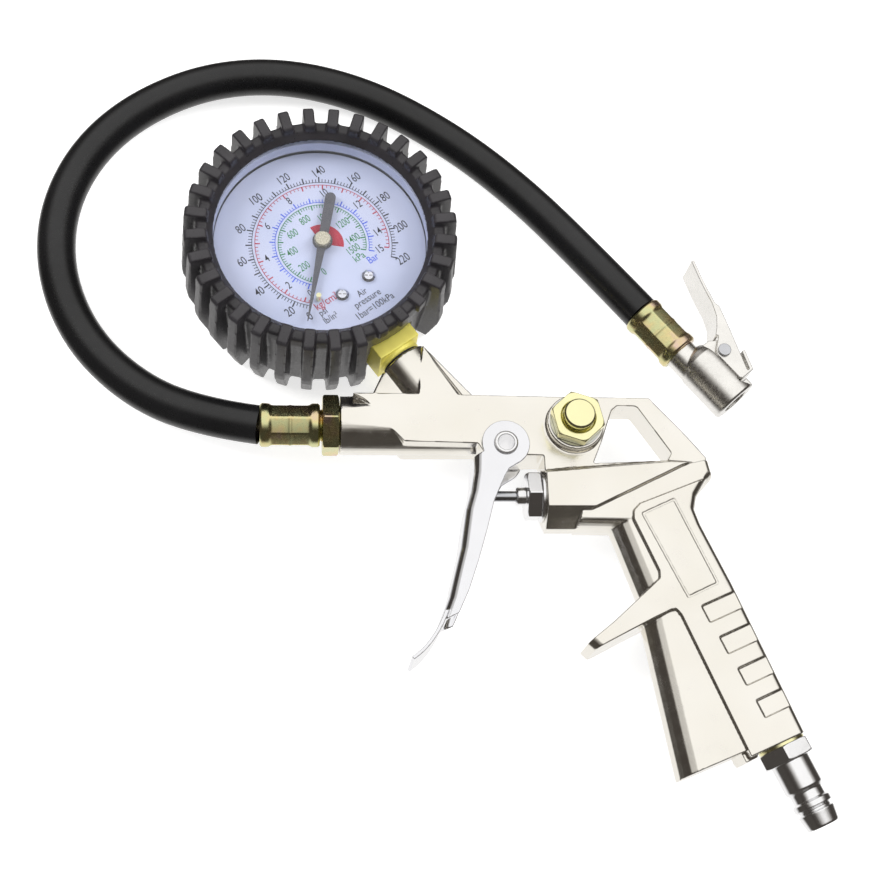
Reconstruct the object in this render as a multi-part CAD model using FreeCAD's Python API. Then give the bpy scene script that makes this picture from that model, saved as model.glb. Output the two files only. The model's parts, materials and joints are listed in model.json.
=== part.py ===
import FreeCAD, Part
import math
import os

# Tyre inflator gun with a pressure gauge, lying on its side.
# Millimetres.  The gun is drawn about its trigger pivot: X runs along the barrel
# towards the hanging loop, Y points from the barrel to the gauge, Z stands up from
# the surface that the gun lies on, and Z = 0 is the gun's own middle plane.
# At export everything moves by FRAME, which puts the origin on that surface,
# under the middle of the inflator without its hose.
V = FreeCAD.Vector
X_AXIS = V(1, 0, 0)
Y_AXIS = V(0, 1, 0)
Z_AXIS = V(0, 0, 1)

REST_H = 13.5                    # the surface lies this far under the middle plane
FRAME = V(3.05, 3.15, REST_H)

RUNNING = 0.05                   # running fit of a pin or rod, on the radius

# gun body
BARREL_Y = 8.1                   # air passage from the valve to the hose
BARREL_FRONT = -47.7
BARREL_REAR = -7.0
BARREL_R = 8.6
BORE_R = 2.6
SLAB_MID = 6.8                   # half thickness of the beam at the pivot
SLAB_TAPER = 0.034               # and how much it loses for each millimetre of X
BLOCK_X = 11.3                   # front face of the valve block
BLOCK_H = 8.5
GRIP_H = 7.3                     # half thickness of the grip behind its raised skin
SKIN_H = 8.5
VALVE_Y = -13.6                  # axis of the push rod and the valve
GRIP_AXIS = V(0.3955, -0.9185, 0)
GRIP_ACROSS = V(0.9185, 0.3955, 0)
GRIP_END = V(74.85, -86.6, 0)    # middle of the air inlet at the grip's foot

# trigger
TRIGGER_SHEET = 1.1
TRIGGER_BEND = 3.2               # outside radius of the folds between its web and cheeks
TRIGGER_INNER = 7.2
EAR_R = 7.0
RIVET_R = 3.1

# pressure gauge
GAUGE = V(-53.3, 63.2, 0)
STEM_ANGLE = -54.4
HUB = V(-52.7, 63.7, 0)
LENS_R = 31.5
BOOT_WALL_R = 36.1
BOOT_BACK = -13.5
TEETH = 32
DIAL_Z = 7.6
ZERO_ANGLE = -99.5

# sector gear and pinion
GEAR_MODULE = 0.4
PINION_TEETH = 10
SECTOR_TEETH = 80                # teeth that a full wheel of the sector's size would have
SECTOR_ANGLE = 200.0             # from the hub to the sector's pivot
PINION_Z = 3.0

# hose
HOSE_D = 11.5
HOSE_Z = -REST_H + HOSE_D / 2 + 0.05
CHUCK_Z = -4.9
HOSE_ROUTE = [
    V(-70.9, 8.1, 0.0), V(-85.0, 10.6, -1.6), V(-105.0, 19.3, -5.4),
    V(-122.6, 36.2, HOSE_Z), V(-132.3, 57.2, HOSE_Z), V(-133.6, 80.0, HOSE_Z),
    V(-125.8, 101.5, HOSE_Z), V(-110.8, 118.2, HOSE_Z), V(-89.0, 129.9, HOSE_Z),
    V(-64.6, 132.9, HOSE_Z), V(-38.0, 126.6, HOSE_Z), V(-12.4, 111.8, HOSE_Z),
    V(9.5, 93.4, HOSE_Z), V(29.6, 70.6, -6.9), V(46.65, 48.45, CHUCK_Z)]

# chuck
CHUCK_DIR = V(0.6361, -0.7716, 0)
CHUCK_ACROSS = V(0.7716, 0.6361, 0)
FERRULE_LENGTH = 17.4
CHUCK_START = V(57.75, 35.0, CHUCK_Z)
CHUCK_OFFSET = 2.3               # the mouth lies this far from the hose's axis
CHUCK_R = 7.4
CHUCK_LENGTH = 22.6
SEAL_THICKNESS = 2.8
JAW_SLOT = 18.1                  # the jaw's slot starts this far past the ferrule
LEVER_PIN = V(70.2, 33.6, CHUCK_Z)
LEVER_HALF = 5.9


# ---- helpers -------------------------------------------------------------------

def at(point, z):
    return V(point[0], point[1], z)


def outline(points, z):
    """Closed wire through XY points at one height."""
    corners = [at(p, z) for p in points]
    return Part.makePolygon(corners + corners[:1])


def plate(points, low, high):
    """Straight plate between two heights."""
    return Part.Face(outline(points, low)).extrude(V(0, 0, high - low))


def disc(centre, radius, low, high):
    return Part.makeCylinder(radius, high - low, at(centre, low))


def tube(centre, outer, inner, low, high):
    return disc(centre, outer, low, high).cut(disc(centre, inner, low - 1, high + 1))


def rod(start, direction, length, radius):
    return Part.makeCylinder(radius, length, start, direction)


def turned(start, direction, profile):
    """Solid of revolution; the profile lists (distance along the axis, radius)."""
    side = V(0, 0, 1) if abs(direction.z) < 0.9 else V(1, 0, 0)
    side = side.cross(direction).normalize()
    corners = [start + direction * s + side * r for s, r in profile]
    face = Part.Face(Part.makePolygon(corners + corners[:1]))
    return face.revolve(start, direction, 360)


def hexagon(start, direction, length, across_flats, turn):
    """Hexagonal prism; turn is the angle of a flat's normal from Z, in degrees."""
    u = V(direction).normalize()
    side = Z_AXIS if abs(u.z) < 0.9 else X_AXIS
    other = u.cross(side)
    corner_r = across_flats / math.sqrt(3)
    corners = []
    for i in range(6):
        a = math.radians(turn + 30 + 60 * i)
        corners.append(start + side * (corner_r * math.cos(a)) + other * (corner_r * math.sin(a)))
    return Part.Face(Part.makePolygon(corners + corners[:1])).extrude(u * length)


def cone_ends(start, direction, length, radius, chamfer):
    """Round envelope with chamfered ends, which trims a hexagon's corners."""
    return turned(start, direction, [
        (0, 0), (0, radius - chamfer), (chamfer * 0.5, radius),
        (length - chamfer * 0.5, radius), (length, radius - chamfer), (length, 0)])


def nut(start, direction, length, across_flats, turn):
    """Hexagon with its corners turned down at both ends."""
    corner_r = across_flats / math.sqrt(3)
    body = hexagon(start, direction, length, across_flats, turn)
    return body.common(cone_ends(start, direction, length, corner_r, 0.8))


def offset_corners(points, distance, weights):
    """Mitred inward offset of an anticlockwise outline; a weight scales each edge's share."""
    count = len(points)
    lines = []
    for i in range(count):
        a = V(points[i][0], points[i][1], 0)
        b = V(points[(i + 1) % count][0], points[(i + 1) % count][1], 0)
        d = (b - a).normalize()
        inward = V(-d.y, d.x, 0)
        lines.append((a + inward * (distance * weights[i]), d))
    result = []
    for i in range(count):
        p, d = lines[i - 1]
        q, e = lines[i]
        cross = d.x * e.y - d.y * e.x
        t = ((q.x - p.x) * e.y - (q.y - p.y) * e.x) / cross
        result.append((p.x + d.x * t, p.y + d.y * t))
    return result


def pillow(points, weights, half_thickness, radius):
    """Plate centred on Z = 0 whose weighted edges are rounded on both faces."""
    steps = 5
    levels = []
    for i in range(steps + 1):
        a = math.radians(90.0 * i / steps)
        levels.append((half_thickness - radius + radius * math.sin(a), radius * (1 - math.cos(a))))
    base = half_thickness - radius
    solid = plate(points, -base, base)
    for (low, inset_low), (high, inset_high) in zip(levels[:-1], levels[1:]):
        lower = offset_corners(points, inset_low, weights)
        upper = offset_corners(points, inset_high, weights)
        for side in (1, -1):
            wires = [outline(lower, side * low), outline(upper, side * high)]
            solid = solid.fuse(Part.makeLoft(wires, True, True))
    return solid.removeSplitter()


def fused(shapes):
    return shapes[0].fuse(shapes[1:]).removeSplitter()


def polar(centre, radius, degrees):
    a = math.radians(degrees)
    return centre + V(radius * math.cos(a), radius * math.sin(a), 0)


def coil_spring(start, direction, radius, wire_r, pitch, turns):
    """Round-wire compression spring."""
    helix = Part.makeHelix(pitch, pitch * turns, radius)
    section = Part.Wire(Part.makeCircle(wire_r, V(radius, 0, 0), V(0, 1, 0)))
    body = Part.Wire(helix.Edges).makePipeShell([section], True, True)
    body.Placement = FreeCAD.Placement(start, FreeCAD.Rotation(Z_AXIS, direction))
    return body


NODES = {}


def part(name, shape):
    NODES[name] = shape


# ---- gun body ------------------------------------------------------------------

def tapered_slab():
    """Space between the two side faces of the beam, which close in towards the rear."""
    far = 80.0
    slab = Part.Face(Part.makePolygon([
        V(-far, 0, SLAB_MID + SLAB_TAPER * far), V(far, 0, SLAB_MID - SLAB_TAPER * far),
        V(far, 0, SLAB_TAPER * far - SLAB_MID), V(-far, 0, -SLAB_MID - SLAB_TAPER * far),
        V(-far, 0, SLAB_MID + SLAB_TAPER * far)])).extrude(V(0, 60, 0))
    slab.translate(V(0, -20, 0))
    return slab


def beam():
    """Barrel and flat beam with the hanging loop, cut by the two tapered side faces."""
    sides = [(-44.6, 15.3), (-41.0, 13.4), (-35.7, 9.2), (-35.0, 6.4), (-29.4, 0.5),
             (-8.0, 0.3), (-6.0, -3.0), (BLOCK_X, -3.0), (BLOCK_X, -12.0), (56.0, -12.0),
             (60.2, -3.0), (55.0, 3.6), (44.2, 15.8), (20.0, 15.6)]
    hole = [(33.8, 12.6), (32.5, 11.5), (29.0, 2.0), (25.9, -5.2), (48.3, -3.9),
            (49.6, -1.6), (40.4, 12.6), (39.5, 13.0), (34.3, 13.0)]
    barrel = rod(V(BARREL_FRONT, BARREL_Y, 0), X_AXIS, BARREL_REAR - BARREL_FRONT, BARREL_R)
    flat = plate(sides, -12, 12).cut(plate(hole, -20, 20))
    return barrel.fuse(flat).common(tapered_slab())


def stem_direction():
    return polar(V(0, 0, 0), 1, STEM_ANGLE)


def gauge_boss():
    """Round boss that the gauge screws into, on a thin web, with a flat gusset behind it."""
    top = GAUGE + stem_direction() * 42.6
    boss = rod(top, stem_direction(), 26, 7.6)
    web = plate([(-38.6, 12.0), (-38.0, 17.3), (-35.0, 23.8), (-22.3, 32.4), (-7.5, 16.0),
                 (-7.5, 12.0)], -3.0, 3.0)
    flat = plate([(-25.0, 12.0), (-24.8, 14.9), (-23.3, 31.0), (-13.2, 15.2), (-11.0, 12.0)],
                 -12, 12)
    keep = plate([(-60, 8.0), (-60, 60), (10, 60), (10, 8.0)], -9, 9)
    return fused([boss.common(keep), web, flat]).common(tapered_slab())


def valve_block():
    """Block around the valve, with chamfered long edges and a diagonal rear boundary."""
    base = [(BLOCK_X, -7.0), (BLOCK_X, -21.9), (19.8, -21.9), (51.8, -6.4),
            (55.5, -4.6), (48.6, -4.1)]
    face = [(BLOCK_X, -8.9), (BLOCK_X, -19.1), (25.6, -19.1), (51.8, -6.4),
            (53.6, -5.7), (48.6, -5.5)]
    foot = [(BLOCK_X, -7.0), (BLOCK_X, -24.3), (30.0, -24.3), (52.0, -12.0),
            (57.0, -4.4), (48.6, -4.0)]
    shapes = [plate(foot, -2.2, 2.2)]
    for side in (1, -1):
        shapes.append(Part.makeLoft([outline(foot, side * 2.2), outline(base, side * 5.2)],
                                    True, True))
        shapes.append(Part.makeLoft([outline(base, side * 5.2), outline(face, side * BLOCK_H)],
                                    True, True))
    return fused(shapes)


def grip_core():
    """Grip web from the beak behind the valve to the foot, rounded along its front."""
    points = [(44.2, -96.6), (62.4, -89.6), (66.0, -84.0), (60.0, -45.0), (53.2, -20.0),
              (57.2, -13.6), (61.8, -8.7), (60.9, -4.0), (50.0, -6.5), (24.0, -13.0),
              (20.0, -24.4), (30.2, -24.6), (36.8, -45.0), (37.6, -53.5)]
    weights = [0, 0, 0, 0, 0.2, 0.35, 0.35, 0, 0, 0, 0.35, 1, 1, 1]
    return pillow(points, weights, GRIP_H, 6.9)


def grip_skin():
    """Raised skin with the air duct at its back, rounded along its rear edge."""
    points = [(63.5, -91.3), (80.1, -84.4), (63.8, -42.0), (56.2, -24.2), (54.8, -19.6),
              (55.7, -15.8), (59.4, -10.0), (38.2, -18.3), (36.2, -20.4), (36.0, -23.0),
              (42.3, -38.6), (42.2, -40.6), (40.2, -42.4), (40.0, -49.0), (44.5, -49.8),
              (46.1, -49.6), (47.5, -51.3)]
    weights = [0] + [0.65] * 5 + [0] * 11
    return pillow(points, weights, SKIN_H, 4.0)


def horn():
    """Finger rest that stands out in front of the grip."""
    points = [(46.0, -42.3), (40.3, -42.3), (28.0, -53.1), (20.4, -59.0), (22.4, -60.9),
              (39.6, -52.2), (45.0, -49.7)]
    weights = [0, 0, 0, 1, 0, 0, 0]
    return pillow(points, weights, SKIN_H, 3.4)


def finger_notches():
    """Four shallow notches across the rear of the raised skin, on both faces."""
    shapes = []
    first = V(53.3, -48.8, 0)
    for i in range(4):
        start = first + V(4.35, -9.0, 0) * i
        corners = [start, start + GRIP_ACROSS * 22, start + GRIP_ACROSS * 22 + GRIP_AXIS * 5.4,
                   start + GRIP_AXIS * 5.4]
        for side in (1, -1):
            low = min(side * (SKIN_H - 0.6), side * 12)
            shapes.append(plate(corners, low, low + 12 - SKIN_H + 0.6))
    return shapes


def label_grooves():
    """Thin rectangular outline on each face of the skin."""
    corners = [V(38.3, -21.3, 0), V(48.4, -16.7, 0), V(59.2, -42.3, 0), V(49.8, -46.6, 0)]
    inner_shift = 0.6
    points = [(c.x, c.y) for c in reversed(corners)]
    inner = offset_corners(points, inner_shift, [1, 1, 1, 1])
    shapes = []
    for low in (SKIN_H - 0.4, -SKIN_H - 0.4):
        shapes.append(plate(points, low, low + 0.8).cut(plate(inner, low - 1, low + 2)))
    return shapes


BLEEDER = V(20.7, 6.3, 0)
BLEEDER_FACE = 9.4


def gun_body():
    solid = fused([beam(), gauge_boss(), valve_block(), grip_core(), grip_skin(), horn(),
                   disc(BLEEDER, 8.4, 2, BLEEDER_FACE),
                   plate([(62.1, -84.0), (61.2, -88.4), (62.9, -92.4), (66.4, -90.9),
                          (66.0, -84.0)], -5.0, 5.0)])
    stem = stem_direction()
    top = GAUGE + stem * 42.6
    cuts = [
        rod(V(BARREL_FRONT - 1, BARREL_Y, 0), X_AXIS, 12.0, 5.0),
        rod(V(BARREL_FRONT, BARREL_Y, 0), X_AXIS, BLEEDER.x - BARREL_FRONT + 2.5, BORE_R),
        rod(top - stem, stem, 12.0, 5.0),
        rod(top, stem, 24.0, 1.6),
        disc(BLEEDER, 4.5, 0.5, 30),
        disc(BLEEDER, 1.6, -1.2, 1.0),
        rod(V(16.5, VALVE_Y, 0), Y_AXIS, BARREL_Y - VALVE_Y, 1.7),
        rod(V(BLOCK_X - 1, VALVE_Y, 0), X_AXIS, 8.0, 5.0),
        rod(V(BLOCK_X, VALVE_Y, 0), X_AXIS, 30.0, 4.2),
        rod(GRIP_END, GRIP_AXIS, 2.0, 7.2),
        rod(GRIP_END + GRIP_AXIS, GRIP_AXIS * -1, 12.0, 4.9),
        rod(GRIP_END, GRIP_AXIS * -1, 60.0, 3.0),
        disc(V(0, 0, 0), RIVET_R, -20, 20)]
    duct_top = GRIP_END - GRIP_AXIS * 60.0
    to_valve = V(38.0, VALVE_Y, 0) - duct_top
    cuts.append(rod(duct_top, to_valve, to_valve.Length, 3.0))
    cuts.append(Part.makeSphere(3.3, duct_top))
    solid = solid.cut(cuts + finger_notches() + label_grooves())
    part("gun_body", solid.removeSplitter())


# ---- trigger -------------------------------------------------------------------

def trigger():
    """Pressed sheet channel: a finger web, two cheeks with round ears and a curled tongue."""
    front = [(-9.3, -3.6), (-9.6, -8.5), (-10.6, -14.0), (-12.3, -19.6), (-13.2, -25.0),
             (-14.2, -31.0), (-16.2, -38.4), (-18.0, -45.4), (-20.6, -52.4), (-24.2, -58.2),
             (-29.0, -62.6)]
    half = TRIGGER_INNER + TRIGGER_SHEET
    rear = [(-15.4, -50.4), (-12.3, -43.7), (-9.4, -35.5), (-6.5, -26.1), (-4.1, -17.4),
            (-0.6, -9.8), (0.6, -7.8), (4.6, -5.3), (0.0, 0.0), (-6.4, -2.4)]
    bend = [p for p in front if p[1] > -52.0] + [(-21.0, -53.0)]
    inside = sheet_side(bend, TRIGGER_SHEET)
    hollow = [(p.x, p.y) for p in inside]
    hollow[0] = (-8.2, 4.0)
    hollow[-1] = (-19.4, -54.5)
    weights = [1] * (len(bend) - 1)
    shell = pillow(bend + rear, weights + [0] * (len(rear) + 1), half, TRIGGER_BEND)
    room = pillow(hollow + [(12.0, -54.5), (12.0, 9.0)], weights + [0, 0, 0],
                  TRIGGER_INNER, TRIGGER_BEND - TRIGGER_SHEET)
    shapes = [shell.cut(room), trigger_tongue(front, half)]
    for low in (-half, TRIGGER_INNER):
        shapes.append(disc(V(0, 0, 0), EAR_R, low, low + TRIGGER_SHEET))
    solid = fused(shapes).cut(disc(V(0, 0, 0), RIVET_R + RUNNING, -20, 20))
    part("trigger", solid)


def trigger_tongue(front, half):
    """Curled plain end of the trigger's sheet, below its two cheeks."""
    outer = Part.BSplineCurve()
    outer.interpolate([V(x, y, 0) for x, y in front])
    inner = Part.BSplineCurve()
    inner.interpolate(sheet_side(front, TRIGGER_SHEET))
    ends = [Part.makeLine(outer.EndPoint, inner.EndPoint),
            Part.makeLine(inner.StartPoint, outer.StartPoint)]
    wire = Part.Wire(Part.__sortEdges__([outer.toShape(), inner.toShape()] + ends))
    web = Part.Face(wire).extrude(V(0, 0, 2 * half))
    web.translate(V(0, 0, -half))
    return web.common(plate([(-40, -70), (0, -70), (0, -49.5), (-40, -49.5)], -12, 12))


def sheet_side(points, thickness):
    """Points of the inner face of a bent sheet, square to the outer face's points."""
    result = []
    for i, point in enumerate(points):
        before = points[max(i - 1, 0)]
        after = points[min(i + 1, len(points) - 1)]
        d = V(after[0] - before[0], after[1] - before[1], 0).normalize()
        result.append(V(point[0] - d.y * thickness, point[1] + d.x * thickness, 0))
    return result


def trigger_rivet():
    """Hollow rivet through the beam, rolled over outside the two ears."""
    head = TRIGGER_INNER + TRIGGER_SHEET + 0.15
    body = disc(V(0, 0, 0), RIVET_R, -head - 0.7, head + 0.7)
    for low in (head, -head - 0.5):
        body = body.fuse(disc(V(0, 0, 0), RIVET_R + 0.4, low, low + 0.5))
    part("trigger_rivet", body.cut(disc(V(0, 0, 0), 2.4, -20, 20)))


# ---- valve ---------------------------------------------------------------------

def valve():
    """Gland, push rod, seat, poppet and return spring on one axis along X."""
    def here(x):
        return V(x, VALVE_Y, 0)
    gland = fused([
        turned(here(3.3), X_AXIS, [(0, 0), (0, 2.2), (0.5, 2.65), (3.0, 2.65), (3.0, 0)]),
        nut(here(6.2), X_AXIS, 4.1, 13.0, -20.6),
        rod(here(10.3), X_AXIS, BLOCK_X - 10.3, 7.6),
        rod(here(BLOCK_X), X_AXIS, 6.9, 5.0)])
    bore = rod(here(0), X_AXIS, 20, 1.55 + RUNNING)
    groove = rod(here(15.0), X_AXIS, 2.0, 2.9)
    waist = tube_along_x(16.4, 18.3, 5.1, 3.2)
    part("gland_nut", gland.cut([bore, groove, waist, rod(here(17.1), X_AXIS, 2, 2.9)]))
    part("gland_o_ring", Part.makeTorus(2.25, 0.64, here(16.0), X_AXIS))
    seat = rod(here(18.4), X_AXIS, 3.6, 4.2)
    seat = seat.cut(rod(here(18.0), X_AXIS, 5, 2.6))
    part("valve_seat", seat)
    push = turned(here(-8.9), X_AXIS, [
        (0, 0), (0, 1.0), (0.6, 1.55), (32.0, 1.55), (32.0, 0)])
    part("push_rod", push)
    poppet = turned(here(23.1), X_AXIS, [
        (0, 0), (0, 3.2), (1.6, 3.2), (1.6, 2.0), (5.0, 1.6), (5.0, 0)])
    part("valve_poppet", poppet)
    seal = rod(here(22.1), X_AXIS, 1.0, 3.2).cut(rod(here(21.0), X_AXIS, 4, 1.55))
    part("poppet_seal", seal)
    spring = coil_spring(here(25.2), X_AXIS, 3.0, 0.35, 2.6, 6.0)
    part("valve_spring", spring)


def tube_along_x(low, high, outer, inner):
    ring = rod(V(low, VALVE_Y, 0), X_AXIS, high - low, outer)
    return ring.cut(rod(V(low - 1, VALVE_Y, 0), X_AXIS, high - low + 2, inner))


# ---- bleeder -------------------------------------------------------------------

def bleeder():
    """Screwed-in deflation valve: hexagonal brass body, sprung button, spring and washer."""
    top = 13.8
    body = fused([
        nut(at(BLEEDER, BLEEDER_FACE + 0.8), Z_AXIS, top - BLEEDER_FACE - 0.8, 14.0, 12.0),
        disc(BLEEDER, 4.5, 1.0, BLEEDER_FACE + 0.8)])
    body = body.cut([disc(BLEEDER, 3.3, 3.0, 15), disc(BLEEDER, 5.1, 11.9, 15),
                     disc(BLEEDER, 1.4, 0, 4)])
    part("bleeder_body", body)
    part("bleeder_washer", tube(BLEEDER, 7.8, 4.5, BLEEDER_FACE, BLEEDER_FACE + 0.8))
    button = turned(at(BLEEDER, 0), Z_AXIS, [
        (1.6, 0), (1.6, 1.0), (7.2, 1.0), (7.2, 3.3 - RUNNING), (14.0, 3.3 - RUNNING),
        (14.0, 4.6), (16.0, 4.6), (16.5, 4.1), (16.5, 0)])
    part("bleeder_button", button)
    part("bleeder_spring", coil_spring(at(BLEEDER, 3.35), Z_AXIS, 2.2, 0.3, 1.2, 2.9))
    part("bleeder_seal", tube(BLEEDER, 2.9, 1.5, 0.5, 1.0))


# ---- air inlet -----------------------------------------------------------------

def inlet():
    """Quick-coupling plug at the foot of the grip, its seal and the inlet filter."""
    d = GRIP_AXIS
    seal_end = 0.7
    plug = turned(GRIP_END, d, [
        (-9.5, 2.6), (-9.5, 4.5), (-9.1, 4.9), (seal_end, 4.9), (seal_end, 5.55), (13.2, 5.55),
        (14.2, 4.7), (16.6, 4.7), (17.2, 5.55), (18.7, 5.55), (19.2, 4.6), (19.9, 4.6),
        (20.2, 5.35), (24.2, 4.7), (24.6, 4.4), (24.6, 2.6)])
    hexagonal = nut(GRIP_END + d * seal_end, d, 4.4, 14.0, -11.0)
    hexagonal = hexagonal.cut(rod(GRIP_END, d, 20, 2.6))
    part("inlet_plug", plug.fuse(hexagonal).removeSplitter())
    washer = rod(GRIP_END, d, seal_end, 6.8).cut(rod(GRIP_END - d, d, 3, 4.9))
    part("inlet_seal", washer)
    part("inlet_filter", rod(GRIP_END - d * 22.0, d, 11.0, 3.0))


# ---- gauge ---------------------------------------------------------------------

def boot_tooth(angle):
    """One grip tooth of the rubber boot, as a profile swept through its own width."""
    profile = [(34.0, 20.2), (39.3, 20.4), (40.1, 19.6), (41.5, 0.5), (41.3, -2.5),
               (38.5, -13.2), (35.0, -13.2), (35.0, 14.0), (33.2, 17.0), (33.2, 19.6)]
    width = 3.3
    corners = [V(r, -width / 2, z) for r, z in profile]
    tooth = Part.Face(Part.makePolygon(corners + corners[:1])).extrude(V(0, width, 0))
    tooth.rotate(V(0, 0, 0), Z_AXIS, angle)
    tooth.translate(GAUGE)
    return tooth


def gauge_boot():
    shell = turned(GAUGE, Z_AXIS, [
        (BOOT_BACK, 27.0), (BOOT_BACK, 34.2), (-12.4, 35.2), (0.0, BOOT_WALL_R),
        (14.0, 36.9), (17.0, 36.6), (17.6, 36.0), (17.6, 33.6), (15.4, LENS_R),
        (14.9, LENS_R), (14.9, 33.9), (-12.0, 33.9), (-12.0, 27.0)])
    stem = stem_direction()
    teeth = []
    nubs = []
    for i in range(TEETH):
        angle = 95.6 + i * 360.0 / TEETH
        away = (angle - STEM_ANGLE + 180) % 360 - 180
        if abs(away) < 16:
            nubs.append(boot_tooth(angle).common(disc(GAUGE, 38.0, 14.6, 19.2)))
        else:
            teeth.append(boot_tooth(angle))
    across = Z_AXIS.cross(stem)
    start = GAUGE + stem * 25 - across * 7.3 + V(0, 0, -20)
    end = GAUGE + stem * 50
    window = Part.Face(Part.makePolygon([
        start, start + across * 14.6, end + across * 7.3 + V(0, 0, -20),
        end - across * 7.3 + V(0, 0, -20), start])).extrude(V(0, 0, 28.0))
    solid = fused([shell.cut(window)] + teeth + nubs)
    part("gauge_boot", solid)


def gauge_case():
    wall = 0.8
    case = turned(GAUGE, Z_AXIS, [
        (-12.0, 0), (-12.0, 33.9), (13.0, 33.9), (13.0, 33.9 - wall), (-12.0 + wall, 33.9 - wall),
        (-12.0 + wall, 0)])
    hole = square_bar(25, 40, 7.0)
    part("gauge_case", case.cut(hole))
    part("gauge_lens", turned(GAUGE, Z_AXIS, [
        (13.0, 0), (13.0, 33.85), (14.87, 33.85), (14.87, 0)]))
    part("lens_ring", tube(GAUGE, 33.1, 31.9, 9.0, 13.0))


def square_bar(low, high, half):
    """Square bar along the gauge's stem, between two distances from the gauge's middle."""
    stem = stem_direction()
    across = Z_AXIS.cross(stem)
    a = GAUGE + stem * low - across * half - Z_AXIS * half
    face = Part.Face(Part.makePolygon([
        a, a + across * 2 * half, a + across * 2 * half + Z_AXIS * 2 * half,
        a + Z_AXIS * 2 * half, a]))
    return face.extrude(stem * (high - low))


def stem_plate(near, far, half, low, high):
    """Plate across the stem, between two distances from the gauge's middle."""
    stem = stem_direction()
    across = Z_AXIS.cross(stem)
    corners = [GAUGE + stem * near - across * half, GAUGE + stem * far - across * half,
               GAUGE + stem * far + across * half, GAUGE + stem * near + across * half]
    return plate(corners, low, high)


def gauge_socket():
    """Square brass connection with its thread, and the block inside the case."""
    stem = stem_direction()
    seat = stem_plate(18.0, 30.0, 4.0, -8.2, -3.6)
    post = stem_plate(27.4, 31.0, 4.0, -8.2, 1.5)
    neck = rod(GAUGE + stem * 29, stem, 4, 4.0)
    solid = fused([
        square_bar(32.8, 40.1, 6.95), seat, post, neck,
        turned(GAUGE + stem * 40.1, stem, [(0, 0), (0, 6.6), (0.9, 6.6), (1.6, 6.0), (1.6, 0)]),
        rod(GAUGE + stem * 41.7, stem, 10.5, 4.95)])
    bore = rod(GAUGE + stem * 29.5, stem, 40, 1.4)
    part("gauge_socket", solid.cut(bore))
    seal = rod(GAUGE + stem * 41.7, stem, 0.9, 6.3)
    part("socket_seal", seal.cut(rod(GAUGE + stem * 40, stem, 5, 4.95)))


def bourdon_tube():
    """Flattened C tube from the socket block round to its free end."""
    radius = 25.5
    start_angle = STEM_ANGLE + 14
    sweep = 262.0
    ring = turned(GAUGE, Z_AXIS, [
        (-7.5, radius - 0.9), (-7.5, radius + 0.9), (-0.5, radius + 0.9), (-0.5, radius - 0.9)])
    wedge = sector_plate(GAUGE, 40, start_angle, start_angle + sweep, -12, 5)
    arc = ring.common(wedge)
    joint = ring.common(sector_plate(GAUGE, 40, STEM_ANGLE + 9.6, start_angle + 1, -12, 5))
    part("bourdon_tube", fused([arc, joint]))


def sector_plate(centre, radius, first, last, low, high):
    """Pie-shaped plate between two angles."""
    steps = max(2, int(math.ceil((last - first) / 30.0)))
    points = [(centre.x, centre.y)]
    for i in range(steps + 1):
        p = polar(centre, radius * 1.05, first + (last - first) * i / steps)
        points.append((p.x, p.y))
    return plate(points, low, high)


def movement():
    """Two plates on pillars that carry the sector gear and the pinion."""
    pivot = sector_pivot()
    plan = []
    for point, reach, angles in ((HUB, 6.0, (-70, -10, 50, 110)),
                                 (pivot, 5.0, (130, 190, 250, 290))):
        for a in angles:
            corner = polar(point, reach, a)
            plan.append((corner.x, corner.y))
    plates = [plate(plan, -2.2, -1.2), plate(plan, 5.4, 6.4)]
    pillars = [polar(HUB, 4.6, 20), polar(HUB, 4.6, -50), polar(pivot, 4.2, 150)]
    shapes = plates + [disc(p, 0.9, -1.2, 5.4) for p in pillars]
    solid = fused(shapes)
    holes = [disc(HUB, 0.8 + RUNNING, -5, 10), disc(pivot, 0.8 + RUNNING, -5, 10)]
    part("movement_plates", solid.cut(holes))
    bracket = plate([(HUB.x + 3, HUB.y - 2), (HUB.x + 14, HUB.y - 20),
                     (HUB.x + 11, HUB.y - 22), (HUB.x - 1.5, HUB.y - 4.5)], -3.6, -2.2)
    part("movement_bracket", bracket.cut(disc(HUB, 1.6, -5, 0)))


def sector_pivot():
    distance = GEAR_MODULE * (PINION_TEETH + SECTOR_TEETH) / 2
    return polar(HUB, distance, SECTOR_ANGLE)


def gear_outline(centre, teeth, first_angle, count):
    """Straight-sided teeth; first_angle is the middle of the first tooth."""
    pitch_r = GEAR_MODULE * teeth / 2
    tip_r = pitch_r + 0.8 * GEAR_MODULE
    root_r = pitch_r - 1.1 * GEAR_MODULE
    pitch = 360.0 / teeth
    points = []
    for i in range(count):
        middle = first_angle + i * pitch
        for radius, share in ((root_r, -0.30), (tip_r, -0.10), (tip_r, 0.10), (root_r, 0.30)):
            p = polar(centre, radius, middle + share * pitch)
            points.append((p.x, p.y))
    return points


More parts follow.
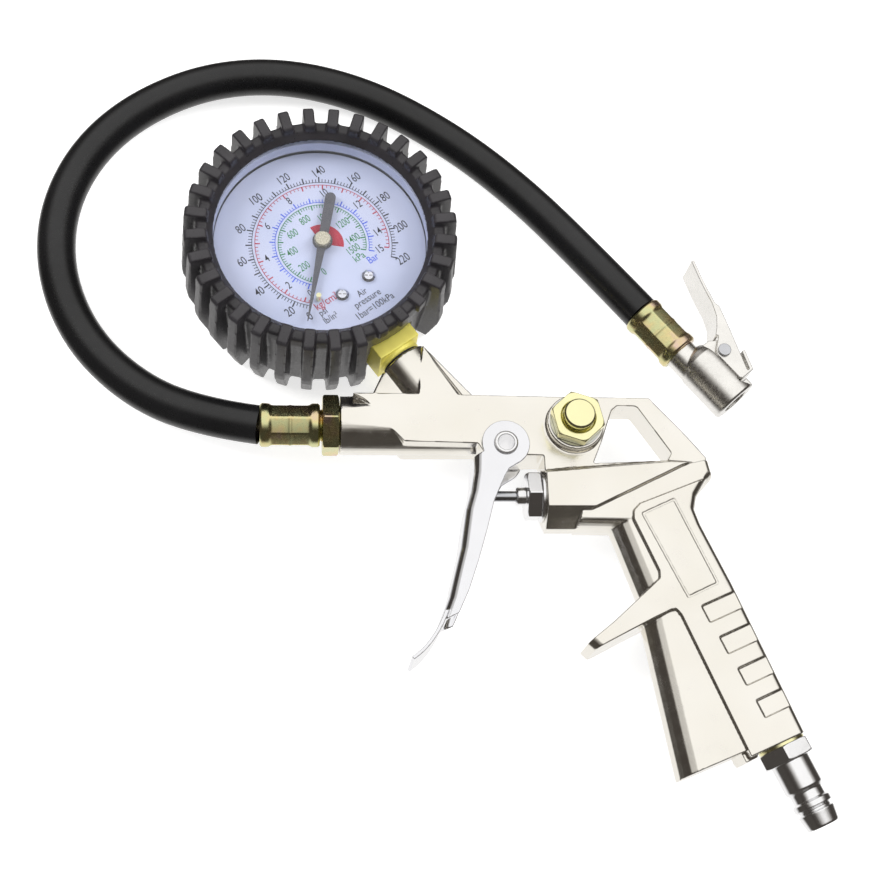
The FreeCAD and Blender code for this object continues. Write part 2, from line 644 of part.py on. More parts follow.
def gears():
    """Sector gear, and the pinion on the pointer's arbor, in mesh at zero pressure."""
    pivot = sector_pivot()
    pitch = 360.0 / SECTOR_TEETH
    toward_hub = SECTOR_ANGLE - 180
    # The sector turns anticlockwise from rest, so its teeth trail on the clockwise side.
    first = toward_hub - 9 * pitch
    teeth = gear_outline(pivot, SECTOR_TEETH, first, 12)
    face_points = teeth + [(p.x, p.y) for p in (polar(pivot, 2.4, toward_hub + 60),
                                                polar(pivot, 2.4, toward_hub - 90))]
    tail = polar(pivot, 6.0, toward_hub + 195)
    arm = plate([(p.x, p.y) for p in (polar(pivot, 2.2, toward_hub + 105),
                                      polar(tail, 1.6, toward_hub + 105),
                                      polar(tail, 1.6, toward_hub + 285),
                                      polar(pivot, 2.2, toward_hub + 285))],
                PINION_Z - 0.5, PINION_Z + 0.5)
    sector = fused([plate(face_points, PINION_Z - 0.5, PINION_Z + 0.5), arm,
                    disc(tail, 1.6, PINION_Z - 0.5, PINION_Z + 0.5),
                    disc(pivot, 2.6, PINION_Z - 0.5, PINION_Z + 0.5),
                    disc(pivot, 0.8, -2.6, 6.8),
                    disc(tail, 0.7, PINION_Z + 0.5, PINION_Z + 1.9)])
    part("sector_gear", sector)
    half_step = 180.0 / PINION_TEETH
    wheel = gear_outline(HUB, PINION_TEETH, SECTOR_ANGLE + half_step, PINION_TEETH)
    arbor = fused([plate(wheel, PINION_Z - 1.2, PINION_Z + 1.2),
                   disc(HUB, 0.8, -2.6, 9.0)])
    part("pinion_arbor", arbor)
    link_end = tail + V(2.0, -7.6, 0)
    along = (link_end - tail).normalize()
    across = V(-along.y, along.x, 0)
    bar = plate([(p.x, p.y) for p in (tail - across * 1.0, link_end - across * 1.0,
                                      link_end + across * 1.0, tail + across * 1.0)],
                PINION_Z + 0.8, PINION_Z + 1.4)
    link = fused([bar, disc(tail, 1.5, PINION_Z + 0.8, PINION_Z + 1.4),
                  disc(link_end, 1.5, PINION_Z + 0.8, PINION_Z + 1.4)])
    part("link_bar", link.cut([disc(tail, 0.7 + RUNNING, 0, 10), disc(link_end, 0.7, 0, 10)]))


def dial():
    """Dial with its screws and zero stop, the pointer and the cap on its hub."""
    screw_places = [V(-46.9, 46.6, 0), V(-39.0, 52.9, 0)]
    stop = V(-53.9, 45.2, 0)
    face = disc(GAUGE, 31.8, DIAL_Z - 0.6, DIAL_Z)
    holes = [disc(HUB, 1.6, 0, 20), disc(stop, 0.5, 0, 20)]
    holes += [disc(p, 1.0, 0, 20) for p in screw_places]
    part("dial_plate", face.cut(holes))
    screws = []
    for place in screw_places:
        head = turned(place, Z_AXIS, [(DIAL_Z, 0), (DIAL_Z, 2.1), (DIAL_Z + 0.6, 2.0),
                                      (DIAL_Z + 1.1, 1.3), (DIAL_Z + 1.3, 0)])
        cross = [Part.makeBox(2.4, 0.45, 2, at(place - V(1.2, 0.225, 0), DIAL_Z + 0.75)),
                 Part.makeBox(0.45, 2.4, 2, at(place - V(0.225, 1.2, 0), DIAL_Z + 0.75))]
        screws.append(head.cut(cross).fuse(disc(place, 1.0, 2.0, DIAL_Z)))
    part("dial_screws", Part.makeCompound(screws))
    part("zero_stop_pin", fused([disc(stop, 0.5, DIAL_Z - 0.6, DIAL_Z),
                                 disc(stop, 0.75, DIAL_Z, 10.6)]))
    low = 9.3
    high = 9.8
    tip = polar(HUB, 26.8, ZERO_ANGLE)
    tail = polar(HUB, 15.0, ZERO_ANGLE + 180)
    side = polar(V(0, 0, 0), 1.0, ZERO_ANGLE + 90)
    blade = plate([(p.x, p.y) for p in (HUB - side * 1.35, tip - side * 0.15,
                                        tip + side * 0.15, HUB + side * 1.35)], low, high)
    counterweight = plate([(p.x, p.y) for p in (HUB - side * 1.35, HUB + side * 1.35,
                                                tail + side * 1.6, tail - side * 1.6)], low, high)
    needle = fused([blade, counterweight, disc(tail, 1.6, low, high), disc(HUB, 3.0, low, high)])
    part("pointer", needle.cut(disc(HUB, 0.8, 0, 20)))
    cap = turned(HUB, Z_AXIS, [(9.0, 0), (9.0, 0.8), (high, 0.8), (high, 2.5), (11.0, 2.5),
                               (11.3, 2.2), (11.3, 0)])
    part("pointer_cap", cap)


# ---- hose ----------------------------------------------------------------------

def hose_end_ferrule(start, direction):
    """Crimped sleeve, open at the hose and closed at the fitting."""
    outer = [(0, 6.0), (0.5, 6.45), (2.2, 6.45), (5.0, 6.1), (12.4, 6.1), (15.2, 6.45),
             (16.9, 6.45), (FERRULE_LENGTH, 6.0), (FERRULE_LENGTH, 3.3)]
    inner = [(FERRULE_LENGTH - 1.2, 3.3), (FERRULE_LENGTH - 1.2, 5.5), (0, 5.5)]
    return turned(start, direction, outer + inner)


def barbed_tail(start, direction, length):
    """Ribbed tail that the hose is pushed over."""
    profile = [(0, 1.8), (0, 3.3)]
    for i in range(3):
        s = 2.4 + i * 3.6
        profile += [(s, 3.3), (s, 3.9), (s + 3.0, 3.3)]
    profile += [(length, 3.1), (length, 1.8)]
    return turned(start, direction, profile)


def hose_fittings():
    gun_end = V(-53.5, BARREL_Y, 0)
    back = V(-1, 0, 0)
    part("ferrule_gun_end", hose_end_ferrule(gun_end - X_AXIS * FERRULE_LENGTH, X_AXIS))
    nipple = fused([
        nut(V(-52.8, BARREL_Y, 0), X_AXIS, 4.8, 16.0, -25.5),
        rod(V(-53.5, BARREL_Y, 0), X_AXIS, 0.8, 4.6),
        rod(V(-48.0, BARREL_Y, 0), X_AXIS, BARREL_FRONT + 48.0, 5.9),
        rod(V(BARREL_FRONT, BARREL_Y, 0), X_AXIS, 9.5, 5.0)])
    tail = barbed_tail(gun_end, back, 15.0)
    bore = rod(V(-60, BARREL_Y, 0), X_AXIS, 30, 1.8)
    part("hose_nipple", nipple.cut(bore).fuse(tail).removeSplitter())
    open_end = CHUCK_START - CHUCK_DIR * FERRULE_LENGTH
    part("ferrule_chuck_end", hose_end_ferrule(open_end, CHUCK_DIR))
    stem_tail = barbed_tail(CHUCK_START, CHUCK_DIR * -1, 15.0)
    stem = rod(CHUCK_START, CHUCK_DIR, 6.0, 3.3).cut(rod(CHUCK_START, CHUCK_DIR, 6.0, 1.8))
    part("chuck_stem", stem.fuse(stem_tail).removeSplitter())


def hose():
    """Free hose: straight runs joined by tangent arcs, as round as the runs allow."""
    path, radii, length = rounded_path(HOSE_ROUTE)
    start = path.Edges[0].Vertexes[0].Point
    heading = (HOSE_ROUTE[1] - HOSE_ROUTE[0]).normalize()
    section = Part.Wire(Part.makeCircle(HOSE_D / 2, start, heading))
    solid = path.makePipeShell([section], True, False)
    part("hose", solid)
    area = math.pi * HOSE_D ** 2 / 4
    print("hose radii", [round(r, 1) for r in radii])
    print("hose length", round(length, 1), "volume ratio", round(solid.Volume / area / length, 4))


def rounded_path(route):
    edges = []
    radii = []
    here = route[0]
    for i in range(1, len(route) - 1):
        before = route[i - 1] - route[i]
        after = route[i + 1] - route[i]
        turn = math.pi - before.getAngle(after)
        reach = 0.45 * min(before.Length, after.Length)
        radii.append(reach / math.tan(turn / 2))
        enter = route[i] + before.normalize() * reach
        leave = route[i] + after.normalize() * reach
        inward = (before + after).normalize()
        centre_distance = math.hypot(radii[-1], reach)
        middle = route[i] + inward * (centre_distance - radii[-1])
        edges.append(Part.LineSegment(here, enter).toShape())
        edges.append(Part.Arc(enter, middle, leave).toShape())
        here = leave
    edges.append(Part.LineSegment(here, route[-1]).toShape())
    return Part.Wire(edges), radii, sum(e.Length for e in edges)


# ---- chuck ---------------------------------------------------------------------

def chuck_plan(points):
    """XY points from distances (along the hose's axis, across it) past the ferrule."""
    places = [CHUCK_START + CHUCK_DIR * a + CHUCK_ACROSS * c for a, c in points]
    return [(p.x, p.y) for p in places]


def chuck():
    """Clip-on valve chuck: cast body, rubber seal, depressor and the pin lug."""
    mouth_axis = CHUCK_START + CHUCK_ACROSS * CHUCK_OFFSET
    neck = rod(CHUCK_START, CHUCK_DIR, 8.0, 5.0)
    barrel = turned(mouth_axis, CHUCK_DIR, [
        (1.9, 0), (1.9, 2.6), (2.5, 4.4), (3.8, 5.9), (5.6, 7.0), (7.4, CHUCK_R),
        (CHUCK_LENGTH - 0.5, CHUCK_R), (CHUCK_LENGTH, CHUCK_R - 0.5), (CHUCK_LENGTH, 0)])
    lug_half = LEVER_HALF - 1.4
    lug = plate(chuck_plan([(3.4, 3.0), (3.4, 7.8), (6.0, 11.6), (9.5, 11.6), (12.0, 9.0),
                            (12.0, 3.0)]), CHUCK_Z - lug_half, CHUCK_Z + lug_half)
    mouth = mouth_axis + CHUCK_DIR * CHUCK_LENGTH
    up = CHUCK_DIR * -1
    recess = chuck_plan([(3.2, 5.0), (3.2, 20.0), (24.0, 20.0), (24.0, 9.2), (20.2, 5.6),
                         (10.0, 5.6)])
    pocket = mouth + up * 8.0
    cuts = [rod(mouth + CHUCK_DIR, up, 9.0, 4.15),
            rod(pocket, up, SEAL_THICKNESS, 4.6),
            rod(pocket, up, 7.6, 2.2),
            rod(CHUCK_START, CHUCK_DIR, 6.0, 3.3),
            rod(CHUCK_START, CHUCK_DIR, 9.0, 1.8),
            plate(chuck_plan([(JAW_SLOT, 4.8), (JAW_SLOT + 1.6, 4.8), (JAW_SLOT + 1.6, 20.0),
                              (JAW_SLOT, 20.0)]), CHUCK_Z - 9, CHUCK_Z + 9),
            plate(chuck_plan([(6.1, 5.9), (11.7, 5.9), (13.0, 20.0), (2.0, 20.0)]),
                  CHUCK_Z - 1.9, CHUCK_Z + 1.9),
            plate(recess, CHUCK_Z + lug_half, CHUCK_Z + 12),
            plate(recess, CHUCK_Z - 12, CHUCK_Z - lug_half),
            disc(LEVER_PIN, 1.5, -30, 30)]
    part("chuck_body", fused([neck, barrel, lug]).cut(cuts))
    seal = rod(pocket, up, SEAL_THICKNESS, 4.6).cut(rod(pocket, up, SEAL_THICKNESS, 1.9))
    part("chuck_seal", seal)
    depressor = rod(mouth + up * 15.6, CHUCK_DIR, 1.4, 2.2).fuse(
        rod(mouth + up * 15.6, CHUCK_DIR, 7.0, 0.8))
    part("chuck_depressor", depressor)
    head = LEVER_HALF + 0.15
    pin = disc(LEVER_PIN, 1.5, CHUCK_Z - head, CHUCK_Z + head).fuse([
        disc(LEVER_PIN, 2.0, CHUCK_Z + head, CHUCK_Z + head + 0.7),
        disc(LEVER_PIN, 2.0, CHUCK_Z - head - 0.7, CHUCK_Z - head)])
    part("lever_pin", pin.removeSplitter())


def chuck_lever():
    """Bent sheet thumb lever with two cheeks on the pin and a jaw in the body's slot."""
    sheet = 1.0
    face = [(63.6, 64.4), (65.2, 59.4), (67.0, 54.4), (68.9, 49.8), (69.9, 45.2), (69.6, 41.2),
            (69.0, 38.6)]
    back = sheet_side(face, -sheet)
    corners = [V(x, y, 0) for x, y in face] + list(reversed(back))
    half = LEVER_HALF
    thumb = plate([(p.x, p.y) for p in corners], CHUCK_Z - half, CHUCK_Z + half)
    cheek_points = [(68.9, 49.8), (69.8, 45.2), (69.5, 40.8), (67.9, 34.4), (67.9, 32.4),
                    (74.4, 24.5), (76.9, 27.2), (72.6, 41.4), (70.2, 48.6)]
    shapes = [thumb]
    for low in (CHUCK_Z - half, CHUCK_Z + half - sheet):
        shapes.append(plate(cheek_points, low, low + sheet))
    jaw = chuck_plan([(JAW_SLOT + 0.25, 6.6), (JAW_SLOT + 0.25, 10.6), (12.6, 13.0),
                      (12.9, 14.0), (JAW_SLOT + 1.05, 11.5), (JAW_SLOT + 1.05, 6.6)])
    shapes.append(plate(jaw, CHUCK_Z - half, CHUCK_Z + half))
    solid = fused(shapes).cut(disc(LEVER_PIN, 1.5 + RUNNING, -30, 30))
    part("chuck_lever", solid)
    part("lever_spring", coil_spring(LEVER_PIN - Z_AXIS * 1.45, Z_AXIS, 2.2, 0.3, 1.2, 2.4))


# ---- build ---------------------------------------------------------------------

def build():
    gun_body()
    trigger()
    trigger_rivet()
    valve()
    bleeder()
    inlet()
    gauge_boot()
    gauge_case()
    gauge_socket()
    bourdon_tube()
    movement()
    gears()
    dial()
    hose_fittings()
    hose()
    chuck()
    chuck_lever()
    os.makedirs("parts", exist_ok=True)
    for name, shape in NODES.items():
        moved = shape.copy()
        moved.translate(FRAME)
        moved.exportStep(os.path.join("parts", name + ".step"))


build()
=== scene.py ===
import json
import math

import bmesh
import bpy
from mathutils import Matrix, Vector


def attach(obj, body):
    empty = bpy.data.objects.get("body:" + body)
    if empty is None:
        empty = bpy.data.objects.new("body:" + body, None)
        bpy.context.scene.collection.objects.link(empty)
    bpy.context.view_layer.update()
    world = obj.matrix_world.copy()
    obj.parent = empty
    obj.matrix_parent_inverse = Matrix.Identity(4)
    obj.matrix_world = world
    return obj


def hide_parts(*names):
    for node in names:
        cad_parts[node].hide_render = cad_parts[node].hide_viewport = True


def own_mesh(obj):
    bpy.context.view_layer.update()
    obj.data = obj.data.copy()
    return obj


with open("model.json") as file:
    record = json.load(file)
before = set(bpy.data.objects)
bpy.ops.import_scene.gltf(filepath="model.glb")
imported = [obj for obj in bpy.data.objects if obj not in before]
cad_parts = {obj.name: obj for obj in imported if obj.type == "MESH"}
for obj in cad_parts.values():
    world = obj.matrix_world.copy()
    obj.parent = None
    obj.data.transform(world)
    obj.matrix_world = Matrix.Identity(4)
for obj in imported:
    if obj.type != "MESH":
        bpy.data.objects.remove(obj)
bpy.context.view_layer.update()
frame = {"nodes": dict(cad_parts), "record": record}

MM = 0.001
# The gun frame's origin, the trigger's pivot, in the row frame (mm), as in the CAD.
FRAME_MM = Vector((3.05, 3.15, 13.5))

HOSE_D = 11.5
HOSE_Z = -7.7               # where the hose rests on the floor
CHUCK_Z = -4.9
HOSE_ROUTE = [
    (-70.9, 8.1, 0.0), (-85.0, 10.6, -1.6), (-105.0, 19.3, -5.4),
    (-122.6, 36.2, HOSE_Z), (-132.3, 57.2, HOSE_Z), (-133.6, 80.0, HOSE_Z),
    (-125.8, 101.5, HOSE_Z), (-110.8, 118.2, HOSE_Z), (-89.0, 129.9, HOSE_Z),
    (-64.6, 132.9, HOSE_Z), (-38.0, 126.6, HOSE_Z), (-12.4, 111.8, HOSE_Z),
    (9.5, 93.4, HOSE_Z), (29.6, 70.6, -6.9), (46.65, 48.45, CHUCK_Z)]

# Crimped sleeves. The gun's one points along +X, the chuck's one along CHUCK_AXIS.
SLEEVE_LENGTH = 17.4
CHUCK_AXIS = (0.6361, -0.7716, 0.0)
CHUCK_SHOULDER = (57.75, 35.0)

# Dial. Angles are in degrees from the gun frame's X axis, radii and heights in mm.
HUB = Vector((-52.7, 63.7))
DIAL_Z = 7.6
TEXT_TURN = 35.6            # the dial's upright leans with the gauge's stem
REST_ANGLE = -99.5          # the pointer at rest
PSI_ZERO = 273.0            # where 0 psi would be on the linear scale
DEG_PER_PSI = 1.2893
PSI_PER_BAR = 14.504
PSI_PER_KGF = 14.223
PSI_RING = 21.0
KGF_RING = 20.1
BAR_RING = 14.1
KPA_RING = 13.2
PSI_LABELS = 24.7
KGF_LABELS = 17.3
KPA_LABELS = 9.4
OUTER_TICKS = (0.391, 0.2185)   # widths of major and minor marks
INNER_TICKS = (0.368, 0.207)


def at(x, y, z):
    """A point of the gun frame, in mm, as a point of the row frame, in metres."""
    return (Vector((x, y, z)) + FRAME_MM) * MM


# ---- camera --------------------------------------------------------------------

CAMERA_PLACE = (-67.8, -157.7, 422.8)
CAMERA_RIGHT = Vector((0.99357, -0.03317, 0.10827))
CAMERA_UP = Vector((-0.00714, 0.93589, 0.35221))
SENSOR = 36.0
LENS = 62.486               # focal length in mm, for that sensor


def make_camera():
    data = bpy.data.cameras.new("camera")
    data.sensor_width = SENSOR
    data.lens = LENS
    data.clip_start = 0.01
    data.clip_end = 20.0
    obj = bpy.data.objects.new("camera", data)
    bpy.context.collection.objects.link(obj)
    back = CAMERA_RIGHT.cross(CAMERA_UP).normalized()
    turn = Matrix((CAMERA_RIGHT, back.cross(CAMERA_RIGHT), back)).transposed().to_4x4()
    obj.matrix_world = Matrix.Translation(at(*CAMERA_PLACE)) @ turn
    bpy.context.scene.camera = obj


make_camera()


# ---- hose ----------------------------------------------------------------------

def make_hose():
    curve = bpy.data.curves.new("air_hose", "CURVE")
    curve.dimensions = "3D"
    spline = curve.splines.new("NURBS")
    spline.points.add(len(HOSE_ROUTE) - 1)
    for point, place in zip(spline.points, HOSE_ROUTE):
        point.co = (*at(*place), 1.0)
    spline.order_u = 3
    spline.use_endpoint_u = True
    spline.resolution_u = 14
    curve.bevel_depth = HOSE_D / 2 * MM
    curve.bevel_resolution = 10
    curve.use_fill_caps = True
    obj = bpy.data.objects.new("air_hose", curve)
    bpy.context.collection.objects.link(obj)
    return obj


hose = make_hose()


# ---- materials -----------------------------------------------------------------

def blank(name):
    material = bpy.data.materials.new(name)
    material.use_nodes = True
    nodes = material.node_tree.nodes
    nodes.clear()
    out = nodes.new("ShaderNodeOutputMaterial")
    shader = nodes.new("ShaderNodeBsdfPrincipled")
    material.node_tree.links.new(shader.outputs["BSDF"], out.inputs["Surface"])
    return material, nodes, material.node_tree.links, shader


def noise(nodes, links, coords, scale, detail=4.0, stretch=None):
    node = nodes.new("ShaderNodeTexNoise")
    node.inputs["Scale"].default_value = scale
    node.inputs["Detail"].default_value = detail
    if stretch is None:
        links.new(coords, node.inputs["Vector"])
    else:
        mapping = nodes.new("ShaderNodeMapping")
        mapping.inputs["Scale"].default_value = stretch
        links.new(coords, mapping.inputs["Vector"])
        links.new(mapping.outputs["Vector"], node.inputs["Vector"])
    return node.outputs["Fac"]


def ramp(nodes, links, value, stops):
    node = nodes.new("ShaderNodeValToRGB")
    elements = node.color_ramp.elements
    while len(elements) < len(stops):
        elements.new(0.5)
    for element, (place, colour) in zip(elements, stops):
        element.position = place
        element.color = (*colour, 1.0)
    links.new(value, node.inputs["Fac"])
    return node.outputs["Color"]


def ranged(nodes, links, value, low, high, start=0.3, end=0.7):
    node = nodes.new("ShaderNodeMapRange")
    node.inputs["From Min"].default_value = start
    node.inputs["From Max"].default_value = end
    node.inputs["To Min"].default_value = low
    node.inputs["To Max"].default_value = high
    links.new(value, node.inputs["Value"])
    return node.outputs["Result"]


def bumped(nodes, links, heights, shader):
    """Chains bumps; heights lists (value, strength, distance in mm)."""
    normal = None
    for value, strength, distance in heights:
        node = nodes.new("ShaderNodeBump")
        node.inputs["Strength"].default_value = strength
        node.inputs["Distance"].default_value = distance * MM
        links.new(value, node.inputs["Height"])
        if normal is not None:
            links.new(normal, node.inputs["Normal"])
        normal = node.outputs["Normal"]
    links.new(normal, shader.inputs["Normal"])


def finish(name, stops, metallic, rough, patch, grain, bump, coat=0.0, stretch=None):
    """Surface with patchy colour and roughness. patch and grain are noise scales per metre,
    rough is (smoothest, roughest) and bump is (strength, depth in mm)."""
    material, nodes, links, shader = blank(name)
    coords = nodes.new("ShaderNodeTexCoord").outputs["Object"]
    colour = noise(nodes, links, coords, patch, 5.0)
    fine = noise(nodes, links, coords, grain, 6.0, stretch)
    links.new(ramp(nodes, links, colour, stops), shader.inputs["Base Color"])
    shader.inputs["Metallic"].default_value = metallic
    links.new(ranged(nodes, links, fine, rough[0], rough[1]), shader.inputs["Roughness"])
    bumped(nodes, links, [(fine, bump[0], bump[1])], shader)
    if coat:
        shader.inputs["Coat Weight"].default_value = coat
        shader.inputs["Coat Roughness"].default_value = 0.08
    return material


def casting():
    """Champagne nickel over a die casting: satin, with pits and cloudy patches."""
    material, nodes, links, shader = blank("champagne_casting")
    coords = nodes.new("ShaderNodeTexCoord").outputs["Object"]
    cloud = noise(nodes, links, coords, 60.0, 5.0)
    fine = noise(nodes, links, coords, 1500.0, 5.0)
    ripple = noise(nodes, links, coords, 240.0, 3.0)
    pits = nodes.new("ShaderNodeTexVoronoi")
    pits.inputs["Scale"].default_value = 900.0
    links.new(coords, pits.inputs["Vector"])
    pit = ranged(nodes, links, pits.outputs["Distance"], 0.0, 1.0, 0.05, 0.2)
    links.new(ramp(nodes, links, cloud, [(0.3, (0.88, 0.85, 0.775)),
                                         (0.7, (0.93, 0.905, 0.845))]),
              shader.inputs["Base Color"])
    shader.inputs["Metallic"].default_value = 1.0
    links.new(ranged(nodes, links, ripple, 0.16, 0.28), shader.inputs["Roughness"])
    bumped(nodes, links, [(ripple, 0.16, 0.08), (fine, 0.3, 0.03), (pit, 0.25, 0.03)], shader)
    return material


def lens_glass():
    material = bpy.data.materials.new("clear_lens")
    material.use_nodes = True
    nodes = material.node_tree.nodes
    links = material.node_tree.links
    nodes.clear()
    out = nodes.new("ShaderNodeOutputMaterial")
    mix = nodes.new("ShaderNodeMixShader")
    clear = nodes.new("ShaderNodeBsdfTransparent")
    gloss = nodes.new("ShaderNodeBsdfGlossy")
    coords = nodes.new("ShaderNodeTexCoord").outputs["Object"]
    haze = noise(nodes, links, coords, 90.0, 3.0)
    links.new(ramp(nodes, links, haze, [(0.3, (0.955, 0.965, 0.99)), (0.7, (0.985, 0.985, 1.0))]),
              clear.inputs["Color"])
    links.new(ranged(nodes, links, haze, 0.02, 0.05), gloss.inputs["Roughness"])
    facing = nodes.new("ShaderNodeLayerWeight").outputs["Facing"]
    links.new(ranged(nodes, links, facing, 0.03, 0.40, 0.35, 1.0), mix.inputs["Fac"])
    links.new(clear.outputs["BSDF"], mix.inputs[1])
    links.new(gloss.outputs["BSDF"], mix.inputs[2])
    links.new(mix.outputs["Shader"], out.inputs["Surface"])
    return material


def around(colour, spread):
    """Two stops, darker and lighter than a colour."""
    return [(0.3, tuple(c * (1 - spread) for c in colour)),
            (0.7, tuple(min(1.0, c * (1 + spread)) for c in colour))]


MATERIALS = {
    "champagne_casting": casting(),
    "trigger_plate": finish("trigger_plate", around((0.88, 0.885, 0.915), 0.03), 1.0,
                            (0.10, 0.20), 70, 900, (0.10, 0.02)),
    "bright_nickel": finish("bright_nickel", around((0.92, 0.92, 0.93), 0.03), 1.0,
                            (0.10, 0.22), 200, 2200, (0.12, 0.015)),
    "black_rubber": finish("black_rubber", around((0.022, 0.022, 0.024), 0.3), 0.0,
                           (0.45, 0.65), 300, 2600, (0.2, 0.02)),
    "bright_brass": finish("bright_brass", around((0.99, 0.945, 0.56), 0.02), 1.0,
                           (0.12, 0.26), 240, 2400, (0.12, 0.015)),
    "satin_brass": finish("satin_brass", around((0.97, 0.86, 0.20), 0.05), 0.45,
                          (0.3, 0.45), 200, 1800, (0.15, 0.02)),
    "steel_rod": finish("steel_rod", around((0.60, 0.61, 0.64), 0.06), 1.0,
                        (0.15, 0.28), 300, 2600, (0.12, 0.01), stretch=(0.08, 1.0, 1.0)),
    "sintered_bronze": finish("sintered_bronze", around((0.50, 0.33, 0.17), 0.25), 1.0,
                              (0.4, 0.6), 900, 3000, (0.6, 0.08)),
    "boot_rubber": finish("boot_rubber", around((0.029, 0.027, 0.030), 0.2), 0.0,
                          (0.26, 0.42), 120, 1800, (0.22, 0.03)),
    "case_steel": finish("case_steel", around((0.30, 0.31, 0.36), 0.1), 0.2,
                         (0.3, 0.5), 200, 2000, (0.1, 0.01)),
    "clear_lens": lens_glass(),
    "dial_white": finish("dial_white", around((0.50, 0.535, 0.66), 0.015), 0.0,
                         (0.35, 0.45), 60, 1500, (0.05, 0.005)),
    "pointer_paint": finish("pointer_paint", around((0.085, 0.085, 0.092), 0.12), 0.0,
                            (0.35, 0.5), 300, 3000, (0.15, 0.01)),
    "cap_brass": finish("cap_brass", around((0.62, 0.585, 0.44), 0.05), 0.7,
                        (0.2, 0.3), 500, 3000, (0.08, 0.01)),
    "hose_rubber": finish("hose_rubber", around((0.007, 0.007, 0.0075), 0.3), 0.0,
                          (0.24, 0.34), 40, 500, (0.10, 0.05)),
    "chuck_nickel": finish("chuck_nickel", around((0.92, 0.905, 0.87), 0.04), 1.0,
                           (0.20, 0.36), 160, 1400, (0.25, 0.03)),
    "yellow_zinc": finish("yellow_zinc", [(0.3, (0.80, 0.58, 0.52)), (0.45, (0.80, 0.68, 0.34)),
                                          (0.56, (0.68, 0.70, 0.38)), (0.7, (0.84, 0.68, 0.34))],
                          1.0, (0.16, 0.30), 140, 1800, (0.15, 0.02)),
    "ink_black": finish("ink_black", around((0.012, 0.012, 0.018), 0.15), 0.0,
                        (0.5, 0.6), 300, 2000, (0.02, 0.001)),
    "ink_red": finish("ink_red", around((0.42, 0.035, 0.06), 0.08), 0.0,
                      (0.5, 0.6), 300, 2000, (0.02, 0.001)),
    "ink_blue": finish("ink_blue", around((0.05, 0.11, 0.62), 0.08), 0.0,
                       (0.5, 0.6), 300, 2000, (0.02, 0.001)),
    "ink_green": finish("ink_green", around((0.02, 0.20, 0.05), 0.08), 0.0,
                        (0.5, 0.6), 300, 2000, (0.02, 0.001)),
}

SLOT_OF = {entry["node"]: entry["material_slot"] for entry in frame["record"]["subparts"]}
BODY_OF = {node: body for body, nodes in frame["record"]["behaviour"]["bodies"].items()
           for node in nodes}


def paint(obj, material):
    if obj.material_slots:
        for entry in obj.material_slots:
            entry.material = material
    else:
        obj.data.materials.append(material)


def mount(obj, body, slot, material=None, replaces=()):
    """Gives a new piece the material of its slot, or the one named, and its body, and hides the
    nodes it stands for.
    """
    paint(obj, MATERIALS[material or slot])
    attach(obj, body)
    if replaces:
        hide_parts(*replaces)
    return obj


for node, obj in frame["nodes"].items():
    paint(obj, MATERIALS[SLOT_OF[node]])

hose.data.materials.append(MATERIALS["hose_rubber"])
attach(hose, "gun")
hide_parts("hose")


# ---- pieces taken from the CAD solids, with their edges softened ----------------

def evaluated(obj):
    """Applies an object's modifiers to its mesh."""
    graph = bpy.context.evaluated_depsgraph_get()
    mesh = bpy.data.meshes.new_from_object(obj.evaluated_get(graph))
    obj.modifiers.clear()
    obj.data = mesh
    return obj


def new_object(name, mesh):
    obj = bpy.data.objects.new(name, mesh)
    bpy.context.collection.objects.link(obj)
    return obj


def softened(node, name, voxel, rounds, keep=0.4):
    """Remeshed copy of a CAD solid. voxel is in mm; more rounds give rounder edges."""
    mesh = frame["nodes"][node].data.copy()
    mesh.materials.clear()
    bm = bmesh.new()
    bm.from_mesh(mesh)
    bmesh.ops.remove_doubles(bm, verts=bm.verts, dist=1e-7)
    bm.to_mesh(mesh)
    bm.free()
    obj = new_object(name, mesh)
    remesh = obj.modifiers.new("remesh", "REMESH")
    remesh.mode = "VOXEL"
    remesh.voxel_size = voxel * MM
    remesh.use_smooth_shade = True
    smooth = obj.modifiers.new("smooth", "SMOOTH")
    smooth.factor = 0.5
    smooth.iterations = rounds
    if keep < 1:
        thin = obj.modifiers.new("thin", "DECIMATE")
        thin.ratio = keep
    return evaluated(obj)


COARSE = 1.0
SOFT_PIECES = [
    # node, piece, voxel, rounds, share of faces kept
    ("gun_body", "body_casting", 0.28, 3, 0.45),
    ("gauge_boot", "rubber_boot", 0.40, 4, 0.4),
    ("trigger", "trigger_lever", 0.20, 6, 0.5),
    ("gland_nut", "gland_hexagon", 0.16, 3, 0.4),
    ("hose_nipple", "nipple_hexagon", 0.18, 3, 0.4),
    ("inlet_plug", "coupling_plug", 0.16, 3, 0.4),
    ("gauge_socket", "square_stem", 0.20, 3, 0.4),
    ("bleeder_body", "bleeder_hexagon", 0.16, 3, 0.4),
    ("bleeder_button", "bleeder_knob", 0.14, 3, 0.4),
    ("chuck_body", "chuck_casting", 0.16, 3, 0.4),
    ("chuck_lever", "clip_thumb_lever", 0.16, 4, 0.4),
    ("trigger_rivet", "rivet_eye", 0.14, 3, 0.4),
    ("lever_pin", "clip_pin", 0.12, 3, 0.4),
]
for node, name, voxel, rounds, keep in SOFT_PIECES:
    piece = softened(node, name, voxel * COARSE, rounds, keep)
    mount(piece, BODY_OF[node], SLOT_OF[node], "satin_brass" if node == "gauge_socket" else None,
          replaces=[node])


def spring_coil(node, name, axis):
    """Smooth-shaded copy of a spring, mounted on its body in place of the CAD node."""
    mesh = frame["nodes"][node].data.copy()
    mesh.materials.clear()
    mesh.shade_smooth()
    axis = Vector(axis)
    piece = new_object(name, mesh)
    mount(piece, BODY_OF[node], SLOT_OF[node], replaces=[node])
    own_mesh(piece)


spring_coil("valve_spring", "valve_coil", (1, 0, 0))
spring_coil("bleeder_spring", "bleeder_coil", (0, 0, -1))


# ---- ferrules ------------------------------------------------------------------

